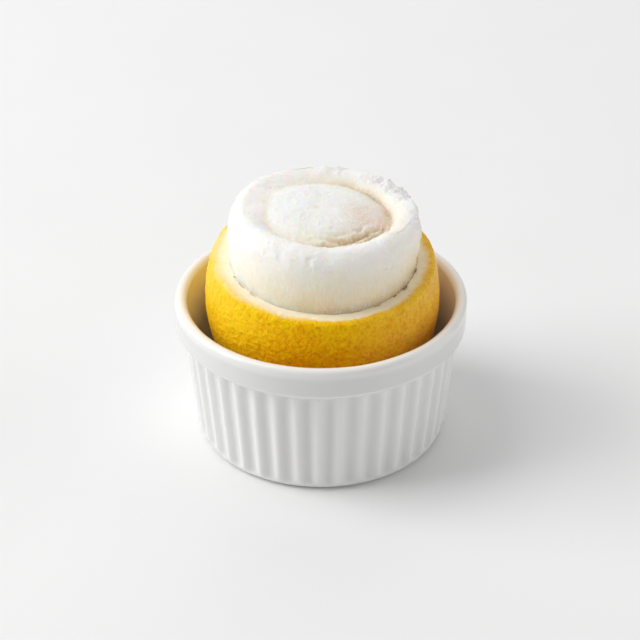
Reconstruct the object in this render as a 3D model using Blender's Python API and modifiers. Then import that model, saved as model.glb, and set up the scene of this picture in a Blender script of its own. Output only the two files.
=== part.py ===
"""Lemon sorbet in a hollowed lemon that stands in a fluted porcelain ramekin.

Three solids share one frame in metres, with +Z up and the origin on the axis of the ramekin, at
the plane that its foot stands on. The front of the dish looks along -Y. The lemon leans a little
towards the front, and the sorbet that stands out of it is upright again.
"""

import math

import bpy
import numpy as np
from mathutils import Matrix

MM = 0.001
GAP = 0.3 * MM

# The ramekin
RIM_RADIUS = 42.5 * MM
DISH_HEIGHT = 44.35 * MM
LIP_INNER_RADIUS = 39.0 * MM
LIP_OUTER_ROUND = 1.9 * MM
BAND_BOTTOM = 35.5 * MM
BAND_TAPER = 0.3 * MM
BAND_EDGE_ROUND = 1.0 * MM
BODY_TOP = BAND_BOTTOM - 0.5 * MM
VALLEY_RADIUS_FOOT = 35.2 * MM
VALLEY_RADIUS_TOP = 39.2 * MM
FLUTE_COUNT = 40
FLUTE_DEPTH = 1.0 * MM
FLUTE_PLAIN = 0.7
FLUTE_TURN = math.radians(2.92)
FLUTE_FADE = 1.6 * MM
PLAIN_FOOT = 2.4 * MM
WALL = 2.5 * MM
FLARE_HEIGHT = 3.0 * MM
FLARE_DEPTH = 1.1 * MM
FLOOR_TOP = 5.0 * MM
FLOOR_CORNER = 5.0 * MM
FOOT_RING_WIDTH = 3.2 * MM
FOOT_RING_HEIGHT = 1.2 * MM
FOOT_EDGE = 0.7 * MM
DISH_STEPS = 3 * FLUTE_COUNT

# The lemon
LEMON_CENTRE = (0.45 * MM, 0.0, 44.6 * MM)
LEMON_RADIUS = 34.0 * MM
LEMON_UPPER = 36.5 * MM
LEMON_LOWER = 40.3 * MM
LEMON_LEAN = math.radians(6.6)
LEMON_ROLL = math.radians(1.3)
CUT_HEIGHT = 12.9 * MM
CUT_EDGE_ROUND = 1.2 * MM
HOLLOW_RADIUS = 30.2 * MM
HOLLOW_UPPER = 32.5 * MM
HOLLOW_LOWER = 34.0 * MM
LEMON_STEPS = 60

# The sorbet, with heights above the middle of the lemon
WALL_RADIUS = 27.2 * MM
WALL_BULGE = 0.15 * MM
WALL_BULGE_HEIGHT = 17.5 * MM
WALL_UNEVEN = 0.2 * MM
SHOULDER = 6.5 * MM
CREST_RADIUS = 23.3 * MM
CREST_HEIGHT = 28.4 * MM
MOUND_RADIUS = 18.0 * MM
MOUND_HEIGHT = 29.0 * MM
MOUND_CROWN = 1.7 * MM
MOUND_EDGE = 4.5 * MM
GROOVE_HEIGHT = 24.6 * MM
RING_FALL = 2.9 * MM
RING_BACK = 1.5 * MM
FOLD_TIP = 114.0
FOLD_START = 102.0
FOLD_END = 116.0
SWIRL_LEAN = -0.085
SORBET_STEPS = 72

# The swirl's ribbon from its pointed outer end round to where it sinks inside: the bearing in
# degrees from the front towards +X, then the crest's radius, its height and its inner width in mm
RIBBON = (
    (114, 24.4, 27.4, 3.6),
    (101, 25.0, 28.1, 3.8),
    (88, 24.9, 27.9, 4.0),
    (66, 24.2, 28.1, 3.8),
    (46, 22.8, 28.6, 3.2),
    (8, 22.6, 28.5, 3.0),
    (-35, 22.5, 29.0, 3.2),
    (-90, 23.3, 28.7, 4.2),
    (-180, 23.6, 28.7, 4.0),
    (-232, 24.0, 28.5, 4.0),
    (-256, 23.6, 27.6, 3.6),
    (-280, 21.8, 26.0, 2.8),
    (-302, 20.0, 24.2, 2.4),
)


def clear_scene():
    for old in list(bpy.data.objects):
        bpy.data.objects.remove(old, do_unlink=True)


def new_collection(name):
    collection = bpy.data.collections.new(name)
    bpy.context.scene.collection.children.link(collection)
    return collection


def new_material(name, colour, roughness, subsurface=0.0):
    material = bpy.data.materials.new(name)
    material.use_nodes = True
    shader = material.node_tree.nodes["Principled BSDF"]
    shader.inputs["Base Color"].default_value = (*colour, 1.0)
    shader.inputs["Roughness"].default_value = roughness
    shader.inputs["Metallic"].default_value = 0.0
    shader.inputs["Subsurface Weight"].default_value = subsurface
    material.diffuse_color = (*colour, 1.0)
    return material


def arc(centre, radius, start, end, steps):
    """Points on a circle in the profile's plane, from start to end in degrees."""
    angles = [math.radians(start + (end - start) * i / steps) for i in range(steps + 1)]
    return [(centre[0] + radius * math.cos(a), centre[1] + radius * math.sin(a)) for a in angles]


def oval(radius, height, start, end, steps):
    """Points on a quarter or less of an ellipse about the profile's axis, in degrees."""
    angles = [math.radians(start + (end - start) * i / steps) for i in range(steps + 1)]
    return [(radius * math.cos(a), height * math.sin(a)) for a in angles]


def turned(name, profile, steps, material, collection):
    """A solid of revolution: the profile turned by a Screw modifier, which is then applied."""
    outline = bpy.data.meshes.new(name + "_profile")
    points = [(r, 0.0, z) for r, z in profile]
    outline.from_pydata(points, [(i, i + 1) for i in range(len(points) - 1)], [])
    lathe = bpy.data.objects.new(name + "_lathe", outline)
    collection.objects.link(lathe)
    screw = lathe.modifiers.new("Turn", "SCREW")
    screw.axis = "Z"
    screw.angle = math.tau
    screw.steps = steps
    screw.render_steps = steps
    screw.use_merge_vertices = True
    screw.merge_threshold = 0.00001
    bpy.context.view_layer.update()
    evaluated = lathe.evaluated_get(bpy.context.evaluated_depsgraph_get())
    mesh = bpy.data.meshes.new_from_object(evaluated)
    mesh.name = name
    bpy.data.objects.remove(lathe, do_unlink=True)
    mesh.materials.clear()
    mesh.materials.append(material)
    solid = bpy.data.objects.new(name, mesh)
    collection.objects.link(solid)
    return solid


def reshape(solid, rule):
    """Moves every vertex of a solid by one rule on the whole array of points."""
    mesh = solid.data
    flat = np.empty(len(mesh.vertices) * 3)
    mesh.vertices.foreach_get("co", flat)
    moved = rule(flat.reshape(-1, 3))
    mesh.vertices.foreach_set("co", moved.ravel())
    mesh.update()


def smooth(solid, angle):
    solid.data.shade_smooth()
    solid.data.set_sharp_from_angle(angle=math.radians(angle))


def ease(value, low, high):
    """0 below low, 1 above high, and a smooth step between."""
    t = np.clip((value - low) / (high - low), 0.0, 1.0)
    return t * t * (3.0 - 2.0 * t)


def valley_radius(z):
    """The dish's outer radius in the bottom of a flute's groove."""
    return VALLEY_RADIUS_FOOT + (VALLEY_RADIUS_TOP - VALLEY_RADIUS_FOOT) * z / BAND_BOTTOM


def dish_profile():
    """The ramekin from the middle of its floor, up inside, over the lip and down outside."""
    corner_radius = valley_radius(FLOOR_TOP + FLOOR_CORNER) - WALL
    corner = (corner_radius - FLOOR_CORNER, FLOOR_TOP + FLOOR_CORNER)
    inside_top = BAND_BOTTOM - FLARE_HEIGHT
    lip_round = RIM_RADIUS - LIP_OUTER_ROUND - LIP_INNER_RADIUS
    lip_height = DISH_HEIGHT - lip_round
    band_top = DISH_HEIGHT - LIP_OUTER_ROUND
    band_radius = RIM_RADIUS - BAND_TAPER
    edge = (band_radius - BAND_EDGE_ROUND, BAND_BOTTOM + BAND_EDGE_ROUND)
    flute_ends = (BODY_TOP - 0.4 * MM, BODY_TOP - FLUTE_FADE, PLAIN_FOOT + FLUTE_FADE, PLAIN_FOOT)
    foot_radius = valley_radius(0.0) + 0.4 * FLUTE_DEPTH
    ring_inner = foot_radius - FOOT_RING_WIDTH
    points = [(0.0, FLOOR_TOP)]
    points += arc(corner, FLOOR_CORNER, -90, 0, 3)
    points += [(valley_radius(inside_top) - WALL, inside_top)]
    points += [(LIP_INNER_RADIUS - FLARE_DEPTH, BAND_BOTTOM + FLARE_HEIGHT)]
    points += arc((RIM_RADIUS - LIP_OUTER_ROUND, lip_height), lip_round, 180, 90, 3)
    points += arc((RIM_RADIUS - LIP_OUTER_ROUND, band_top), LIP_OUTER_ROUND, 90, 0, 3)[1:]
    points += arc(edge, BAND_EDGE_ROUND, 0, -90, 2)
    points += [(valley_radius(BODY_TOP) + FLUTE_PLAIN * FLUTE_DEPTH, BODY_TOP + 0.2 * MM)]
    points += [(valley_radius(z), z) for z in flute_ends]
    points += [(foot_radius, FOOT_EDGE), (foot_radius - FOOT_EDGE, 0.0), (ring_inner, 0.0)]
    points += [(ring_inner - FOOT_EDGE, FOOT_RING_HEIGHT), (0.0, FOOT_RING_HEIGHT)]
    return points


def flute(points):
    """Pushes the plain outer wall out into convex ridges with narrow grooves between them."""
    x, y, z = points.T
    radius = np.hypot(x, y)
    bearing = np.arctan2(y, x)
    outer_wall = (radius > valley_radius(z) - 0.5 * WALL) & (z < BODY_TOP) & (z > 0.5 * PLAIN_FOOT)
    ridge = np.abs(np.sin(0.5 * FLUTE_COUNT * bearing)) ** 0.9
    strength = ease(z, PLAIN_FOOT, PLAIN_FOOT + FLUTE_FADE)
    strength = strength * (1.0 - ease(z, BODY_TOP - FLUTE_FADE, BODY_TOP))
    out = FLUTE_DEPTH * (strength * ridge + (1.0 - strength) * FLUTE_PLAIN)
    grown = np.where(outer_wall, (radius + out) / np.maximum(radius, MM), 1.0)
    return np.stack([x * grown, y * grown, z], axis=1)


def make_ramekin(collection):
    glaze = new_material("white_glaze", (0.86, 0.86, 0.85), 0.12)
    dish = turned("ramekin", dish_profile(), DISH_STEPS, glaze, collection)
    reshape(dish, flute)
    dish.rotation_euler.z = FLUTE_TURN
    smooth(dish, 40)
    return dish


def lean_with_lemon(solid):
    """Places a solid on the middle of the lemon, leaning as the lemon does."""
    turn = Matrix.Rotation(LEMON_ROLL, 4, "Y") @ Matrix.Rotation(LEMON_LEAN, 4, "X")
    solid.rotation_euler = turn.to_euler()
    solid.location = LEMON_CENTRE


def oval_angle(height, full_height):
    return math.degrees(math.asin(height / full_height))


def shell_profile():
    """The peel from the bottom of its hollow, up inside, over the cut pith and down the skin."""
    hollow_cut = oval_angle(CUT_HEIGHT, HOLLOW_UPPER)
    skin_cut = oval_angle(CUT_HEIGHT - CUT_EDGE_ROUND, LEMON_UPPER)
    skin_top = oval(LEMON_RADIUS, LEMON_UPPER, skin_cut, 0, 4)
    edge_radius = skin_top[0][0]
    points = oval(HOLLOW_RADIUS, HOLLOW_LOWER, -90, 0, 6)[:-1]
    points += oval(HOLLOW_RADIUS, HOLLOW_UPPER, 0, hollow_cut, 3)
    points += [(edge_radius - CUT_EDGE_ROUND, CUT_HEIGHT)]
    points += [(edge_radius - 0.3 * CUT_EDGE_ROUND, CUT_HEIGHT - 0.4 * CUT_EDGE_ROUND)]
    points += skin_top
    points += oval(LEMON_RADIUS, LEMON_LOWER, 0, -90, 9)[1:]
    return points


def flat_base_cutter(collection):
    """A block under the lemon that trims it flat, just clear of the dish's floor."""
    bpy.ops.mesh.primitive_cube_add(size=1.0)
    block = bpy.context.active_object
    block.name = "base_cutter"
    for holder in list(block.users_collection):
        holder.objects.unlink(block)
    collection.objects.link(block)
    side = 2 * LEMON_RADIUS
    height = 10 * MM
    block.data.transform(Matrix.Diagonal((side, side, height, 1.0)))
    block.location = (0.0, 0.0, FLOOR_TOP + GAP - 0.5 * height)
    block.hide_render = True
    block.display_type = "WIRE"
    return block


def make_lemon_shell(collection, cutters):
    peel = new_material("lemon_peel", (0.86, 0.52, 0.03), 0.4, 0.05)
    shell = turned("lemon_shell", shell_profile(), LEMON_STEPS, peel, collection)
    lean_with_lemon(shell)
    trim = shell.modifiers.new("Flat base", "BOOLEAN")
    trim.operation = "DIFFERENCE"
    trim.object = flat_base_cutter(cutters)
    smooth(shell, 35)
    return shell


def sorbet_profile():
    """The sorbet before it is swirled: mound, groove, rounded ring, wall and the plug inside."""
    inner = [0.0, 0.2, 0.38, 0.52, 0.63, 0.70, 0.745, 0.785, 0.825, 0.87, 0.92, 0.96]
    points = [(CREST_RADIUS * k, CREST_HEIGHT) for k in inner]
    reach = WALL_RADIUS - CREST_RADIUS
    for i in range(6):
        angle = 0.5 * math.pi * i / 5
        drop = SHOULDER * (1.0 - math.cos(angle))
        points.append((CREST_RADIUS + reach * math.sin(angle), CREST_HEIGHT - drop))
    points += [(WALL_RADIUS + WALL_BULGE, WALL_BULGE_HEIGHT), (WALL_RADIUS, CUT_HEIGHT + 2 * GAP)]
    plug_radius = HOLLOW_RADIUS - GAP
    plug_top = oval_angle(CUT_HEIGHT, HOLLOW_UPPER - GAP)
    points += oval(plug_radius, HOLLOW_UPPER - GAP, plug_top, 0, 2)
    points += oval(plug_radius, HOLLOW_LOWER - 2 * GAP, 0, -90, 6)[1:]
    return points


def ribbon_at(turn):
    """The crest's radius, height and inner width at an unwound bearing, eased between rows."""
    table = np.array(RIBBON[::-1])
    at = np.clip(turn, table[0, 0], table[-1, 0])
    low = np.clip(np.searchsorted(table[:, 0], at, side="right") - 1, 0, len(table) - 2)
    share = ease(at, table[low, 0], table[low + 1, 0])
    values = table[low, 1:] + (table[low + 1, 1:] - table[low, 1:]) * share[:, None]
    return (values * MM).T


def ribbon_height(radius, turn):
    """The ribbon's height at a radius: its crest less a rounded fall towards the inside."""
    crest_radius, crest_height, width = ribbon_at(turn)
    inward = np.clip((crest_radius - radius) / width, 0.0, 1.6)
    outward = np.clip((radius - crest_radius) / RING_BACK, 0.0, 4.0)
    return crest_height - RING_FALL * inward**2.2 - 0.8 * RING_BACK * outward**2


def mound_height(radius):
    crown = MOUND_HEIGHT - MOUND_CROWN * (radius / (15 * MM)) ** 2
    return crown - MOUND_EDGE * ease(radius, MOUND_RADIUS - 2.6 * MM, MOUND_RADIUS + 0.8 * MM)


def soft_max(a, b, blend):
    """The larger of two heights, with the crease between them rounded."""
    return 0.5 * (a + b + np.sqrt((a - b) ** 2 + blend**2))


def wall_unevenness(bearing, height):
    """A slow, shallow swell of the sorbet's wall, none at the pith."""
    angle = np.radians(bearing)
    swell = np.sin(3.0 * angle + 1.0) + 0.6 * np.sin(5.0 * angle - 0.4)
    return WALL_UNEVEN * swell * ease(height, CUT_HEIGHT, WALL_BULGE_HEIGHT)


def swirl(points):
    """Winds the plain ring into a ribbon that overlaps itself in a pointed fold on the right."""
    x, y, z = points.T
    radius = np.hypot(x, y)
    bearing = (np.degrees(np.arctan2(y, x)) + 270.0) % 360.0 - 180.0
    past_fold = ease(bearing, FOLD_START, FOLD_END)
    outer_turn = np.minimum(bearing, FOLD_TIP)
    inner_turn = bearing - 360.0
    outer = ribbon_at(outer_turn)
    inner = ribbon_at(inner_turn)
    crest_radius, crest_height, _ = outer * (1.0 - past_fold) + inner * past_fold

    above_cut = z > CUT_HEIGHT + GAP
    inside_crest = radius <= CREST_RADIUS
    spread = (WALL_RADIUS - crest_radius) / (WALL_RADIUS - CREST_RADIUS)
    outside = crest_radius + (radius - CREST_RADIUS) * spread
    moved = np.where(inside_crest, radius * crest_radius / CREST_RADIUS, outside)
    moved = np.where(above_cut & (radius < WALL_RADIUS), moved, radius)
    grown = (moved + np.where(inside_crest, 0.0, wall_unevenness(bearing, z))) / np.maximum(radius, GAP)

    outer_height = ribbon_height(moved, outer_turn) - CREST_HEIGHT * past_fold
    ring = np.maximum(outer_height, ribbon_height(moved, inner_turn))
    top = soft_max(soft_max(mound_height(moved), ring, 0.5 * MM), GROOVE_HEIGHT, 0.8 * MM)
    lift = (crest_height - CREST_HEIGHT) * ease(z, WALL_BULGE_HEIGHT, CREST_HEIGHT)
    on_top = inside_crest & (z > CREST_HEIGHT - GAP)
    height = np.where(on_top, top, z + lift)
    height = height + SWIRL_LEAN * y * grown * ease(height, CUT_HEIGHT + GAP, GROOVE_HEIGHT)
    upright = math.tan(LEMON_LEAN) * np.maximum(height - CUT_HEIGHT, 0.0)
    return np.stack([x * grown, y * grown + upright, height], axis=1)


def make_sorbet(collection):
    ice = new_material("lemon_sorbet", (0.93, 0.91, 0.87), 0.5, 0.2)
    sorbet = turned("sorbet", sorbet_profile(), SORBET_STEPS, ice, collection)
    reshape(sorbet, swirl)
    lean_with_lemon(sorbet)
    smooth(sorbet, 50)
    return sorbet


def main():
    clear_scene()
    parts = new_collection("lemon_sorbet_in_ramekin")
    cutters = new_collection("cutters")
    cutters.hide_render = True
    make_ramekin(parts)
    make_lemon_shell(parts, cutters)
    make_sorbet(parts)


main()
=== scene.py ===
# %% [markdown]
# # Lemon sorbet in its lemon, in a porcelain ramekin
#
# The dessert has three things in it: a white dish with a fluted wall, a lemon with its top cut
# off, and sorbet that fills the lemon and is wound into a ring with a mound in the middle. A
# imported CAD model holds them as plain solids, and this lesson gives each its real surface. All
# three are rings about an axis, so one way of building serves them all: a profile is turned into
# rings, and rules on the whole numpy array of points press flutes, pores and grain into it.

import math

import bpy
import numpy as np
from mathutils import Matrix, Vector


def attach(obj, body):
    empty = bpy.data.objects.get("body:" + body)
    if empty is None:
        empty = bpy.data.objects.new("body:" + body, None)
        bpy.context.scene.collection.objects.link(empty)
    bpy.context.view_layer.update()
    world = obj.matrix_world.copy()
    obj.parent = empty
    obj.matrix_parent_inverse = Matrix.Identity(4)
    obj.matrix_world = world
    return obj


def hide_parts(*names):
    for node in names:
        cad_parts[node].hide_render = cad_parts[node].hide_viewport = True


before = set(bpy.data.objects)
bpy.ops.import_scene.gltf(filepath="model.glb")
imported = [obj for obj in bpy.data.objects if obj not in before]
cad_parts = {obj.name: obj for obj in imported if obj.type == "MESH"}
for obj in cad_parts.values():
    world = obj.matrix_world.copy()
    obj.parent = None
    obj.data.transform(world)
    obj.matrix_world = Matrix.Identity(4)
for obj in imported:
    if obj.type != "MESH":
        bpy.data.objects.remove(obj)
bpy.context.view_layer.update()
MM = 0.001
print("CAD nodes:", sorted(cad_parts))

# %% [markdown]
# ## Steps, humps and noise
#
# Real food is uneven, and the unevenness has a size: a swell of a centimetre, lumps of a few
# millimetres, a finer grain. Texture nodes would only colour the surface or fake its shade. Here
# noise moves the points, so the relief is in the mesh and shows at the outline too. A fixed seed
# gives the same dessert each time.


# %% Easing and noise on whole arrays
def ease(value, low, high):
    """0 below low, 1 above high, and between them 3t^2 - 2t^3 of the share t of the way."""
    t = np.clip((value - low) / (high - low), 0.0, 1.0)
    return t * t * (3.0 - 2.0 * t)


def hump(value, middle, reach):
    """1 at the middle, easing to 0 at a distance of reach on both sides."""
    return 1.0 - ease(np.abs(value - middle), 0.0, reach)


def between(value, rise, fall):
    """The product of an ease over the first range and one minus an ease over the second."""
    return ease(value, *rise) * (1.0 - ease(value, *fall))


LATTICE = 32


def lattice_noise(points, size, seed):
    """Noise from -1 to 1: a random value at each corner of a lattice of cubes, and inside a cube
    the eight corners' values, each weighted by an eased share of its nearness."""
    table = np.random.default_rng(seed).uniform(-1.0, 1.0, (LATTICE,) * 3)
    scaled = points / size
    cube = np.floor(scaled).astype(int)
    near = ease(scaled - cube, 0.0, 1.0)
    total = np.zeros(points.shape[:-1])
    for corner in np.ndindex(2, 2, 2):
        weight = np.prod(np.where(corner, near, 1.0 - near), axis=-1)
        i, j, k = np.moveaxis((cube + corner) % LATTICE, -1, 0)
        total += weight * table[i, j, k]
    return total


def layered_noise(points, size, layers, seed):
    """Lattice noise plus layers of half the size and half the strength each."""
    layer = [0.5**n * lattice_noise(points, size * 0.5**n, seed + n) for n in range(layers)]
    return np.sum(layer, axis=0)


def pore_distance(points, size, seed):
    """Distance to the nearest pore: the least of the distances to the pores of the point's own
    cube of the lattice and the 26 round it, with one pore at a random place in each."""
    place = np.random.default_rng(seed).uniform(0.0, 1.0, (LATTICE,) * 3 + (3,))
    scaled = points / size
    cube = np.floor(scaled).astype(int)
    nearest = np.full(points.shape[:-1], np.inf)
    for step in np.ndindex(3, 3, 3):
        around = cube + np.array(step) - 1
        i, j, k = np.moveaxis(around % LATTICE, -1, 0)
        gap = np.linalg.norm(scaled - around - place[i, j, k], axis=-1)
        nearest = np.minimum(nearest, gap)
    return nearest * size


# %% [markdown]
# ## From rings to a closed mesh
#
# Round the axis the last column of a grid joins the first one, and at both ends a fan of triangles
# joins the end ring to one point. With the profile running from the middle of the top outwards,
# and the columns anticlockwise, every face looks out of the solid. A Screw modifier turns a
# profile too, but an array can be pressed before it is a mesh.


# %% Rings, normals and the mesh
def turned(profile, columns):
    """Each (radius, height) of the profile carried round the axis: radius times cosine and sine
    of the bearing, at the same height."""
    bearing = np.arange(columns) * math.tau / columns
    radius, height = np.asarray(profile).T[:, :, None]
    level = height + 0.0 * bearing
    return np.stack([radius * np.cos(bearing), radius * np.sin(bearing), level], axis=-1)


def raised(rings, amount):
    """Moves every point along its normal, the cross product of the steps to its neighbours along
    the profile and round the axis."""
    along = np.gradient(rings, axis=0)
    round_axis = np.roll(rings, -1, axis=1) - np.roll(rings, 1, axis=1)
    normal = np.cross(along, round_axis)
    normal /= np.maximum(np.linalg.norm(normal, axis=-1, keepdims=True), 1e-12)
    return rings + normal * np.asarray(amount)[..., None]


def new_piece(name, points, faces, finish, marks=None):
    """A smooth object at the origin, with one value a point for each mark."""
    mesh = bpy.data.meshes.new(name)
    mesh.from_pydata(points, [], faces)
    for mark, values in (marks or {}).items():
        layer = mesh.attributes.new(mark, "FLOAT", "POINT")
        layer.data.foreach_set("value", np.asarray(values, dtype=np.float32))
    mesh.materials.append(finish)
    mesh.shade_smooth()
    piece = bpy.data.objects.new(name, mesh)
    bpy.context.scene.collection.objects.link(piece)
    triangles = sum(len(face) - 2 for face in faces)
    print(f"{name}: {len(points)} points, {triangles} triangles")
    return piece


def ring_faces(rows, columns, start=0):
    """The numbers of a grid's points, counted from start, and the quads between its rings."""
    index = start + np.arange(rows * columns).reshape(rows, columns)
    after = np.roll(index, -1, axis=1)
    quads = np.stack([index[:-1], index[1:], after[1:], after[:-1]], axis=-1)
    return index, quads.reshape(-1, 4).tolist()


def closed_piece(name, rings, finish, marks):
    """A closed piece: quads between rings, and a fan from the mean point of each end ring."""
    rows, columns, _ = rings.shape
    index, quads = ring_faces(rows, columns)
    first = np.full(columns, rows * columns)
    start_fan = np.stack([first, index[0], np.roll(index[0], -1)], axis=-1)
    end_fan = np.stack([first + 1, np.roll(index[-1], -1), index[-1]], axis=-1)

    def with_ends(values):
        ends = [values[0].mean(axis=0)[None], values[-1].mean(axis=0)[None]]
        return np.concatenate([values.reshape((rows * columns,) + values.shape[2:])] + ends)

    faces = quads + start_fan.tolist() + end_fan.tolist()
    marks = {mark: with_ends(values) for mark, values in marks.items()}
    return new_piece(name, with_ends(rings), faces, finish, marks)


# %% [markdown]
# ## Shader sums in Python
#
# A material is a graph of nodes, and by hand each plus sign is a node and two links. The class
# below wraps a node's output, so that `1 - mask * 0.3` adds its two Math nodes by itself. The
# method `node` makes every other kind of node. It takes the settings first, because some of them
# change which sockets a node has, and then the values or wires for its inputs.


# %% Wires and finishes
class Wire:
    """A node's output in a sum. Each operator adds one Math node and returns its output."""

    def __init__(self, finish, socket):
        self.finish, self.socket = finish, socket

    def maths(self, operation, *values):
        return self.finish.node("Math", {"operation": operation}, dict(enumerate(values)))

    def __add__(self, other):
        return self.maths("ADD", self, other)

    def __sub__(self, other):
        return self.maths("SUBTRACT", self, other)

    def __rsub__(self, other):
        return self.maths("SUBTRACT", other, self)

    def power(self, exponent):
        return self.maths("POWER", self, exponent)

    def __mul__(self, other):
        return self.maths("MULTIPLY", self, other)

    __radd__ = __add__
    __rmul__ = __mul__


class Finish:
    """A material in the making: its tree, its shader, and the method that adds any node."""

    def __init__(self, name, **constants):
        self.material = bpy.data.materials.new(name)
        self.material.use_nodes = True
        self.tree = self.material.node_tree
        self.shader = self.tree.nodes["Principled BSDF"]
        for socket, value in constants.items():
            self.shader.inputs[socket.replace("_", " ")].default_value = value
        self.place = self.node("TexCoord", output="Object")

    def node(self, kind, settings=None, inputs=None, output=0):
        made = self.tree.nodes.new("ShaderNode" + kind)
        for setting, value in (settings or {}).items():
            setattr(made, setting, value)
        for name, value in (inputs or {}).items():
            if isinstance(value, Wire):
                self.tree.links.new(value.socket, made.inputs[name])
            else:
                made.inputs[name].default_value = value
        return Wire(self, made.outputs[output])

    def fed(self, **wires):
        """The material, once each wire is linked to the shader's socket of its name."""
        for name, wire in wires.items():
            self.tree.links.new(wire.socket, self.shader.inputs[name.replace("_", " ")])
        return self.material

    def grain(self, size, detail=2.0, stretch=(1.0, 1.0, 1.0), roughness=0.5):
        """Noise from 0 to 1 with lumps of about the given size, on Object coordinates."""
        stretched = self.node("Mapping", {}, {"Vector": self.place, "Scale": stretch})
        inputs = {"Vector": stretched, "Scale": 1.0 / size, "Detail": detail}
        return self.node("TexNoise", {}, {**inputs, "Roughness": roughness})

    def step(self, wire, low, high):
        """0 where the wire is under low, 1 over high, eased between."""
        inputs = {"Value": wire, "From Min": low, "From Max": high}
        return self.node("MapRange", {"interpolation_type": "SMOOTHSTEP"}, inputs)

    def mark(self, name):
        return self.node("Attribute", {"attribute_name": name}, output="Fac")

    def along(self, axis):
        return self.node("SeparateXYZ", {}, {"Vector": self.place}, axis)

    def mixed(self, share, base, over):
        """The base colour with a share of another one laid over it."""
        return self.node("Mix", {"data_type": "RGBA"}, {0: share, 6: base, 7: over}, 2)

    def painted(self, base, *coats):
        """Coats of paint over a base colour in turn, each given by its share and its colour."""
        made = paint(*base)
        for share, *colour in coats:
            made = self.mixed(share, made, paint(*colour))
        return made

    def relief(self, height, depth, strength=1.0, under=None):
        """A Bump node of the given depth in metres, on top of another one if there is one."""
        inputs = {"Height": height, "Distance": depth, "Strength": strength}
        if under is not None:
            inputs["Normal"] = under
        return self.node("Bump", {}, inputs)


def paint(red, green, blue):
    """A colour as a screen shows it, from 0 to 255 each, turned into linear light."""
    share = np.array([red, green, blue]) / 255.0
    linear = np.where(share > 0.04045, ((share + 0.055) / 1.055) ** 2.4, share / 12.92)
    return (*linear.tolist(), 1.0)


# %% [markdown]
# ## The camera
#
# It looks down at 32 degrees from the front with a long lens, so the rim of the dish is a clear
# oval and its sides hardly converge. It comes before the pieces, because the size that a detail
# has in the picture says how fine its mesh has to be: here a millimetre is three or four pixels.

# %% Camera
CAMERA_ELEVATION = math.radians(31.97)
CAMERA_DISTANCE = 521.9 * MM
CAMERA_AIM = 34.64 * MM
CAMERA_ASIDE = -0.326 * MM

camera = bpy.data.cameras.new("camera")
camera.lens = 100.0
camera.sensor_width = 36.0
camera.shift_y = 0.5 / 640.0
camera_object = bpy.data.objects.new("camera", camera)
bpy.context.scene.collection.objects.link(camera_object)
reach = CAMERA_DISTANCE * math.cos(CAMERA_ELEVATION)
rise = CAMERA_DISTANCE * math.sin(CAMERA_ELEVATION)
camera_object.location = (CAMERA_ASIDE, -reach, CAMERA_AIM + rise)
camera_object.rotation_euler = (0.5 * math.pi - CAMERA_ELEVATION, 0.0, 0.0)
bpy.context.scene.camera = camera_object
print(f"camera {reach:.3f} m in front and {rise:.3f} m above its aim")

# %% [markdown]
# ## The ramekin's profile
#
# A ramekin is pressed from white clay and dipped in clear glaze. Its lip is a full round, and
# below a plain band the wall steps in to the fluted part. A lathe cut would give hard corners, but
# glaze fills every inner corner and thins over every outer one, so each corner is an arc of its
# own radius.

# %% Profile of the dish
RIM_RADIUS = 42.5 * MM
DISH_HEIGHT = 44.6 * MM
LIP_INNER_RADIUS = 38.9 * MM
LIP_OUTER_ROUND = 1.5 * MM
BAND_BOTTOM = 35.15 * MM
BAND_TAPER = 0.05 * MM
BAND_EDGE_ROUND = 1.6 * MM
BAND_FILLET = 0.35 * MM
VALLEY_RADIUS_FOOT = 35.9 * MM
VALLEY_RADIUS_TOP = 39.2 * MM
FLUTE_DEPTH = 1.0 * MM
FLUTE_PLAIN = 0.48
PLAIN_FOOT = 1.8 * MM
WALL = 2.5 * MM
FLARE_START = 32.5 * MM
FLARE_BEND = 1.5 * MM
FLOOR_TOP = 5.0 * MM
FLOOR_CORNER = 5.0 * MM
FOOT_RING_WIDTH = 3.2 * MM
FOOT_RING_HEIGHT = 1.2 * MM
FOOT_EDGE = 0.5 * MM
FOOT_RAISE = 0.9 * MM
FOOT_RECESS = 3.2 * MM


def arc(centre, radius, start, end, steps):
    """Points on a circle in the profile's plane, or on an ellipse where the radius is a width and
    a height, from start to end in degrees, without the first."""
    angle = np.radians(np.linspace(start, end, steps + 1)[1:])
    return np.array(centre) + np.stack([np.cos(angle), np.sin(angle)], axis=1) * radius


def line(start, end, steps):
    """Points in equal steps along a straight line, without the first."""
    return np.linspace(start, end, steps + 1)[1:]


def valley_radius(z):
    """Outer radius in the bottom of a flute's groove: it grows evenly with the height."""
    return VALLEY_RADIUS_FOOT + (VALLEY_RADIUS_TOP - VALLEY_RADIUS_FOOT) * z / BAND_BOTTOM


def inner_radius(z, lip_height):
    """The outer wall less its thickness, plus a flare that starts with a rounded bend and is just
    enough to meet the lip."""
    ramp = 0.5 * (z - FLARE_START + np.hypot(z - FLARE_START, FLARE_BEND))
    full = 0.5 * (lip_height - FLARE_START + math.hypot(lip_height - FLARE_START, FLARE_BEND))
    missing = LIP_INNER_RADIUS - (valley_radius(lip_height) - WALL)
    return valley_radius(z) - WALL + missing * ramp / full


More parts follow.
